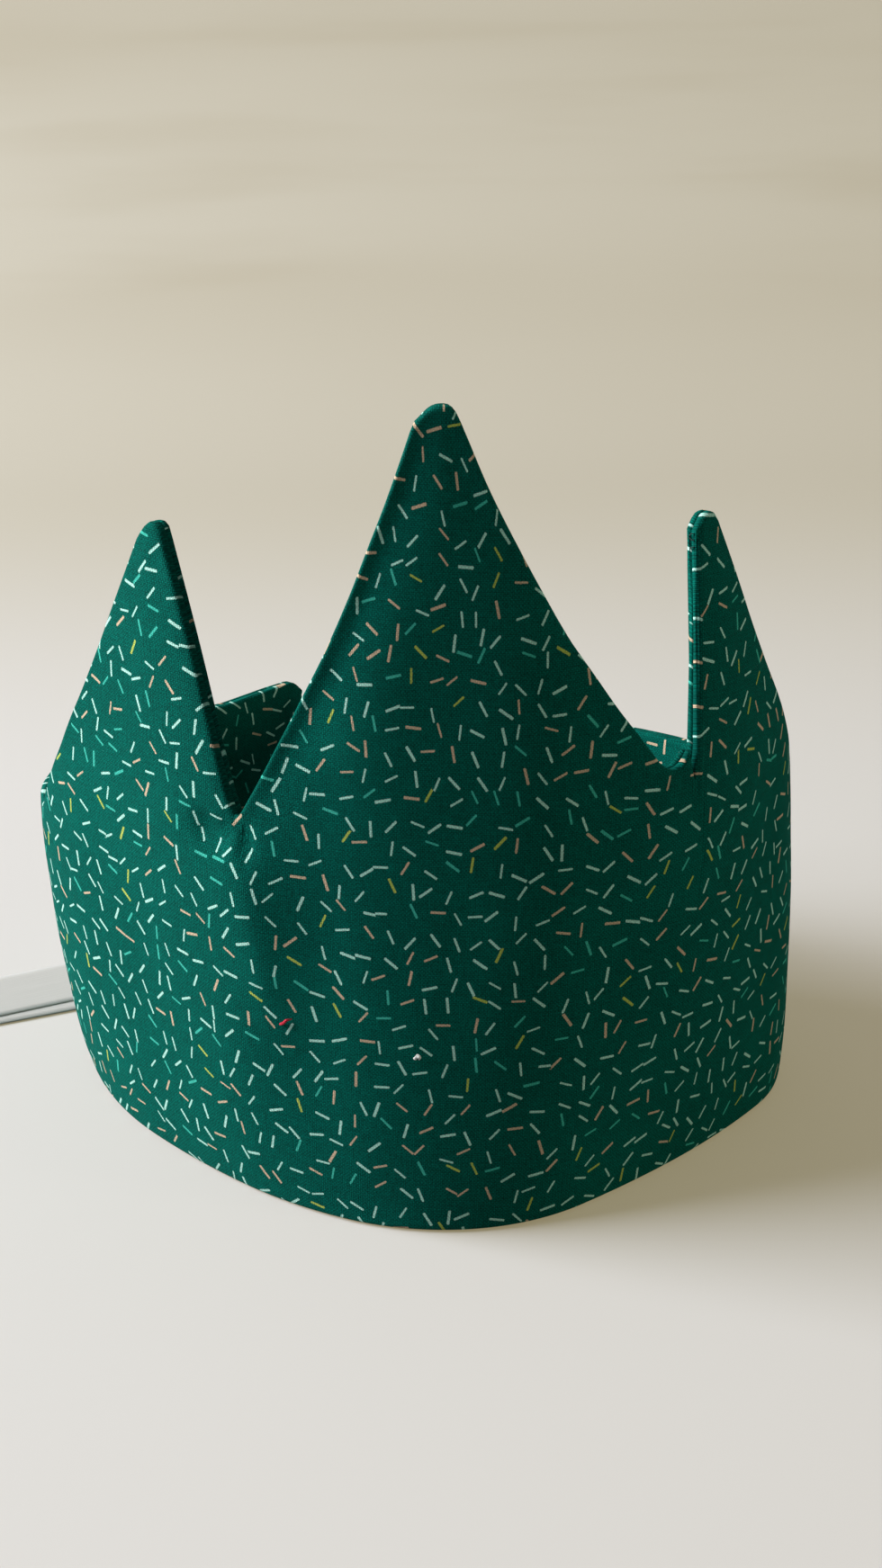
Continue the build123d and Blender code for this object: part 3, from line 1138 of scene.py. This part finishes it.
@dataclass
class RibbonTie:
    """A satin ribbon sewn into one end of the band, folded back and dropped to the table.

    Past its landing it runs along the table, folds under itself and runs back.
    """

    form: CrownForm
    name: str
    node: str
    side: float
    landing: Spot
    heading: float
    width: float = 20.0
    thickness: float = 0.35
    height: float = 33.0
    sewn: float = 6.0
    stub: float = 4.0
    fold_radius: float = 3.5
    side_run: float = 10.0
    floor_run: float = 32.0
    tuck_run: float = 60.0
    tuck_radius: float = 0.2
    tuck_turn: float = 3.0
    tuck_shift: float = 2.0
    lift: float = 0.02
    pull: float = 0.4
    bow: float = 0.3
    flat_bow: float = 0.04
    bow_middle: float = 0.4
    wave_length: float = 22.0
    wave_across: float = 1.4
    steepest_level: float = 0.2
    step: float = 1.6
    fold_steps: int = 8
    short_steps: int = 6
    floor_steps: int = 20
    tuck_steps: int = 30
    across: int = 10

    def _drop(
        self, start: Vector, first: Vector, landing: Vector, way: Vector
    ) -> list[tuple[Vector, float]]:
        """The ribbon's fall from the band to the table.

        Args:
            start: where it leaves the fold.
            first: its direction there.
            landing: where it meets the table.
            way: its direction there.

        Returns:
            The points, each with its turn from upright to flat in degrees.
        """
        length = (landing - start).length
        pull, count = length * self.pull, int(length / self.step)
        near, far = start + first * pull, landing - way * pull
        drop = []
        for t in (n / count for n in range(1, count + 1)):
            spot = (start * (1 - t) ** 3 + near * 3 * t * (1 - t) ** 2
                    + far * 3 * t * t * (1 - t) + landing * t**3)
            drop.append((spot, 90.0 * t * t * (3 - 2 * t)))
        return drop

    def _route(self) -> list[tuple[Vector, float]]:
        """Points of the ribbon's middle line, each with its turn in degrees, upright to flat."""
        form, side, short = self.form, self.side, self.short_steps

        def heading(degrees: float) -> Vector:
            """A level direction."""
            return Vector((math.cos(math.radians(degrees)), math.sin(math.radians(degrees)), 0.0))

        point, along = form.floor_point(side * form.half_length)
        out = Vector((*(along * side), 0.0))
        away = Vector((along.y, -along.x, 0.0))
        lean = form.lean(side * form.half_length, self.height) - form.thickness / 2
        end = Vector((*point, self.height)) + away * lean
        straight = self.sewn + self.stub
        count = int(straight / self.step)
        hung = [end + out * (-self.sewn + straight * n / count) for n in range(count + 1)]
        fold = end + out * self.stub
        for angle in (math.pi * n / self.fold_steps for n in range(1, self.fold_steps + 1)):
            hung.append(fold + out * math.sin(angle) * self.fold_radius
                        + away * (1 - math.cos(angle)) * self.fold_radius)
        fold += away * 2 * self.fold_radius
        hung += [fold - out * self.side_run * n / short for n in range(1, short + 1)]

        way, low_height = heading(self.heading), self.thickness / 2 + self.lift
        landing = Vector((*self.landing, low_height + 2 * self.tuck_radius))
        steps = self.floor_steps
        laid = [landing + way * self.floor_run * n / steps for n in range(1, steps + 1)]
        fold = landing + way * self.floor_run
        for angle in (math.pi * n / short for n in range(1, short + 1)):
            spot = fold + way * math.sin(angle) * self.tuck_radius
            spot.z = low_height + self.tuck_radius * (1 + math.cos(angle))
            laid.append(spot)
        low = Vector((fold.x, fold.y, low_height))
        back = heading(self.heading + 180.0 + side * self.tuck_turn)
        aside = Vector((back.y, -back.x, 0.0)) * -side * self.tuck_shift
        steps = self.tuck_steps
        laid += [
            low + back * self.tuck_run * n / steps + aside * min(n / short, 1.0)
            for n in range(1, steps + 1)
        ]
        drop = self._drop(hung[-1], -out, landing, way)
        return [(spot, 0.0) for spot in hung] + drop + [(spot, 90.0) for spot in laid]

    def _frames(self, route: list[tuple[Vector, float]]) -> list[tuple[Vector, Vector, Vector]]:
        """Finds how the ribbon lies at each point of its route.

        Args:
            route: the points with their turns.

        Returns:
            The point, the direction across the ribbon and the direction out of its face.
        """
        frames = []
        previous = None
        for n, (spot, roll) in enumerate(route):
            ahead = route[min(n + 1, len(route) - 1)][0] - route[max(n - 1, 0)][0]
            ahead.normalize()
            level = ahead.cross(Vector((0, 0, 1)))
            if level.length < self.steepest_level and previous is not None:
                level = previous.copy()
            level.normalize()
            if previous is not None and level.dot(previous) < 0:
                level.negate()
            previous = level.copy()
            upright = level.cross(ahead).normalized()
            if upright.z < 0:
                upright.negate()
            level, turn = level * self.side, math.radians(roll)
            across = upright * math.cos(turn) + level * math.sin(turn)
            face = level * math.cos(turn) - upright * math.sin(turn)
            frames.append((spot, across, face))
        return frames

    def build(self, satin: bpy.types.Material) -> bpy.types.Object:
        """Makes the ribbon as a strip of cloth with a slight bow across its width.

        Args:
            satin: its material.

        Returns:
            The ribbon.
        """
        route = self._route()
        frames = self._frames(route)
        lengths = [0.0]
        for (before, _), (after, _) in zip(route, route[1:]):
            lengths.append(lengths[-1] + (after - before).length)
        bm, places = grid(len(route) - 1, self.across)
        flat = []
        for vert, (n, _) in zip(bm.verts, places):
            share, (spot, across, face) = vert.co.y, frames[n]
            free = self.bow * math.cos(math.radians(route[n][1])) + self.flat_bow
            bow = free * (4 * share * share - self.bow_middle)
            waved = Vector((lengths[n] / self.wave_length, share * self.wave_across, self.side))
            wave = noise.noise(waved) * free
            placed = spot + across * share * self.width + face * (bow + wave)
            placed.z = max(placed.z, self.thickness / 2 + self.lift)
            flat.append((lengths[n] * MM, (share + 0.5) * self.width * MM))
            vert.co = placed * MM
        ribbon = finished(bm, self.name, satin, flat)
        thicken(ribbon, self.thickness, 0.0)
        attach(ribbon, "root")
        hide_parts(self.node)
        return ribbon


@dataclass
class Snippet:
    """A short bent end of thread or a tuft of lint that lies on the cloth."""

    form: CrownForm
    name: str
    path: tuple[Place, ...]
    radius: float
    slot: str = "printed_cotton"
    sides: int = 8
    end_share: float = 0.5

    def build(self, fibre: bpy.types.Material) -> bpy.types.Object:
        """Makes the snippet as a thin tube whose ends narrow.

        Args:
            fibre: its material.

        Returns:
            The snippet.
        """
        spots = [self.form.place(s, z, depth) for s, z, depth in self.path]
        bm = bmesh.new()
        end_radius = self.radius * MM * self.end_share
        loop = bmesh.ops.create_circle(bm, segments=self.sides, radius=end_radius)["verts"]
        first = (spots[1] - spots[0]).normalized()
        bmesh.ops.rotate(bm, verts=loop, cent=(0, 0, 0),
                         matrix=first.to_track_quat("Z", "Y").to_matrix())
        bmesh.ops.translate(bm, verts=loop, vec=spots[0])
        cap = bmesh.ops.contextual_create(bm, geom=loop)["faces"]
        last = len(spots) - 1
        for n, (before, after) in enumerate(zip(spots, spots[1:]), 1):
            made = bmesh.ops.extrude_face_region(bm, geom=cap)
            cap = [item for item in made["geom"] if isinstance(item, bmesh.types.BMFace)]
            moved = [item for item in made["geom"] if isinstance(item, bmesh.types.BMVert)]
            bmesh.ops.translate(bm, verts=moved, vec=after - before)
            size = 1 / self.end_share if n == 1 else (self.end_share if n == last else 1.0)
            bmesh.ops.scale(bm, verts=moved, vec=(size, size, size),
                            space=Matrix.Translation(-after))
        bmesh.ops.recalc_face_normals(bm, faces=bm.faces)
        snippet = finished(bm, self.name, fibre)
        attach(snippet, "root")
        return snippet


# The room

@dataclass(frozen=True)
class Lamp:
    """A square area lamp: its place and side in metres, its power in watts and its colour."""

    name: str
    place: Place
    side: float
    power: float
    colour: Colour

    def build(self, target: Vector) -> bpy.types.Object:
        """Makes the lamp.

        Args:
            target: what it faces, in metres.

        Returns:
            The lamp.
        """
        data = bpy.data.lights.new(self.name, "AREA")
        data.size, data.energy, data.color = self.side, self.power, self.colour[:3]
        lamp = linked(self.name, data)
        lamp.location = self.place
        lamp.rotation_euler = (target - lamp.location).to_track_quat("-Z", "Y").to_euler()
        return lamp


@dataclass(frozen=True)
class Studio:
    """Camera, lamps, the room's light and the pale sweep. Its lengths are in metres."""

    camera_place: Place = (-0.003288, -0.345697, 0.232583)
    pitch_down: float = 0.380
    roll: float = 0.022
    lens_mm: float = 47.92
    sensor_mm: float = 36.0
    clip: Spot = (0.01, 20.0)
    target: Place = (-0.01, 0.06, 0.06)
    lamps: tuple[Lamp, ...] = (
        Lamp("window", (-2.0, 0.17, 1.1), 1.35, 118.0, srgb(248, 251, 255)),
        Lamp("ceiling", (0.2, 0.4, 1.6), 1.4, 2.5, srgb(248, 251, 255)),
        Lamp("room", (1.4, -0.45, 0.14), 0.24, 5.0, srgb(244, 244, 218)),
    )
    room_colour: Colour = (0.93, 0.94, 0.79, 1.0)
    dim_room: float = 0.1
    pale_room: float = 0.7
    sweep_reach: float = 3.0
    sweep_curve: float = 0.35
    curve_steps: int = 24
    curve_start: float = 0.62
    table_below: float = 0.0003

    def camera(self) -> bpy.types.Object:
        """Makes the camera at the photograph's place."""
        data = bpy.data.cameras.new("camera")
        data.lens = self.lens_mm
        data.sensor_width = self.sensor_mm
        data.clip_start, data.clip_end = self.clip
        camera = linked("camera", data)
        camera.matrix_world = (
            Matrix.Translation(self.camera_place)
            @ Matrix.Rotation(math.pi / 2 - self.pitch_down, 4, "X")
            @ Matrix.Rotation(-self.roll, 4, "Z")
        )
        bpy.context.scene.camera = camera
        return camera

    def sweep(self, paper: bpy.types.Material) -> bpy.types.Object:
        """Makes the paper sweep, a table that curves up into a wall.

        Args:
            paper: its material.

        Returns:
            The sweep.
        """
        reach, table, bend = self.sweep_reach, -self.table_below, self.curve_start
        bm = bmesh.new()
        start = bm.verts.new((-reach, -reach, table))
        edge = bm.verts.new((-reach, bend, table))
        bm.edges.new((start, edge))
        arc = bmesh.ops.spin(
            bm, geom=[edge], cent=(-reach, bend, table + self.sweep_curve), axis=(1, 0, 0),
            angle=math.pi / 2, steps=self.curve_steps, use_duplicate=False,
        )
        last = [item for item in arc["geom_last"] if isinstance(item, bmesh.types.BMVert)][0]
        top = bm.verts.new((-reach, last.co.y, reach))
        bm.edges.new((last, top))
        strip = bmesh.ops.extrude_edge_only(bm, edges=bm.edges[:])
        moved = [item for item in strip["geom"] if isinstance(item, bmesh.types.BMVert)]
        bmesh.ops.translate(bm, verts=moved, vec=(2 * reach, 0, 0))
        bmesh.ops.recalc_face_normals(bm, faces=bm.faces)
        sweep = finished(bm, "paper_sweep", paper)
        return sweep

    def world(self) -> bpy.types.World:
        """Makes the room's dim warm light, which is pale where it is seen itself."""
        world = bpy.data.worlds.new("room")
        finish = NodeFinish("room", world)
        strength = finish.seen() * (self.pale_room - self.dim_room) + self.dim_room
        background = finish.node(
            "ShaderNodeBackground", None, {"Color": self.room_colour, "Strength": strength}
        )
        finish.node("ShaderNodeOutputWorld", None, [background.outputs[0]])
        return world

    def build(self) -> None:
        """Sets the room up: camera, sweep, world and lamps."""
        self.camera()
        self.sweep(Paper().material())
        scene = bpy.context.scene
        scene.view_settings.view_transform = "Standard"
        scene.world = self.world()
        for lamp in self.lamps:
            lamp.build(Vector(self.target))


# The crown's pieces

VALLEY_DRAWS = (
    Draw((-55.5, 78.0), (-48.8, 79.8), 1.7, 2.4),
    Draw((-46.6, 81.5), (-49.8, 75.0), 1.0, 1.3, 0.4),
    Draw((-44.2, 81.5), (-42.0, 75.5), 1.1, 1.3, 0.4),
    Draw((-43.4, 75.5), (-38.4, 44.0), -1.5, 6.0, 0.7),
    Draw((-41.5, 87.0), (-8.5, 155.0), 1.1, 7.5, 1.0),
    Draw((46.5, 87.5), (48.2, 82.5), 0.4, 1.6, 0.4),
)
RED_PATH = (
    (-36.6, 41.7, -0.2), (-36.2, 42.3, -1.1), (-35.5, 42.7, -1.4), (-34.9, 43.4, -1.3),
    (-34.2, 43.5, -0.7),
)
LINT_PATH = (
    (-9.9, 37.6, 0.0), (-9.5, 38.0, -0.8), (-9.0, 38.7, -1.0), (-8.6, 38.4, -1.1),
    (-8.8, 37.7, -0.6),
)


def tip_stitches(form: CrownForm) -> list[Snippet]:
    """Three slanted stitches over the inner edge of the right tip."""
    edge = form.right_tip[0] - form.right_tip[2]
    inside, outside = edge + 0.3, edge - 0.08
    return [
        Snippet(form, f"tip_stitch_{n}",
                ((inside, high, 1.7), (outside, high, 1.9),
                 (outside, high - slant, 2.6), (inside, high - slant, 2.8)), 0.14)
        for n, high, slant in ((1, 132.4, 0.5), (2, 131.2, -0.3), (3, 129.9, 0.4))
    ]


def main() -> None:
    """Builds the crown piece by piece, then the room."""
    logging.basicConfig(level=logging.INFO, format="%(name)s: %(message)s")
    form = CrownForm()
    cotton = DashCotton().material()
    satin = Satin().material()
    felt = Fibre("felted_wadding", srgb(238, 236, 230), srgb(216, 213, 205), 900.0).material()
    red = Fibre("red_thread", srgb(214, 32, 58), srgb(150, 14, 40)).material()
    lint = Fibre("white_lint", srgb(246, 246, 242), srgb(206, 210, 204)).material()
    dark = Fibre("green_thread", srgb(8, 62, 54), srgb(2, 34, 30)).material()
    pad = PuffedPad(form)
    pad.simulate()
    pieces = [
        (ClothPanel(form, pad, Face.OUTER, "outer_cloth", "outer_panel", "printed_cotton",
                    (0.3, 0.1), VALLEY_DRAWS), cotton),
        (ClothPanel(form, pad, Face.LINING, "lining_cloth", "lining_panel", "lining_cotton",
                    (1.137, 0.464)), cotton),
        (Wadding(form), felt),
        (RibbonTie(form, "left_ribbon", "left_tie", -1.0, (-93.0, 111.4), 204.0,
                   floor_run=44.0), satin),
        (RibbonTie(form, "right_ribbon", "right_tie", 1.0, (48.0, 156.0), 14.0), satin),
        (Snippet(form, "red_snippet", RED_PATH, 0.28), red),
        (Snippet(form, "lint_speck", LINT_PATH, 0.34), lint),
    ]
    pieces += [(stitch, dark) for stitch in tip_stitches(form)]
    for piece, material in pieces:
        made = piece.build(material)
        log.info("%s: %d faces", made.name, len(made.data.polygons))
    Studio().build()


if __name__ == "__main__":
    main()
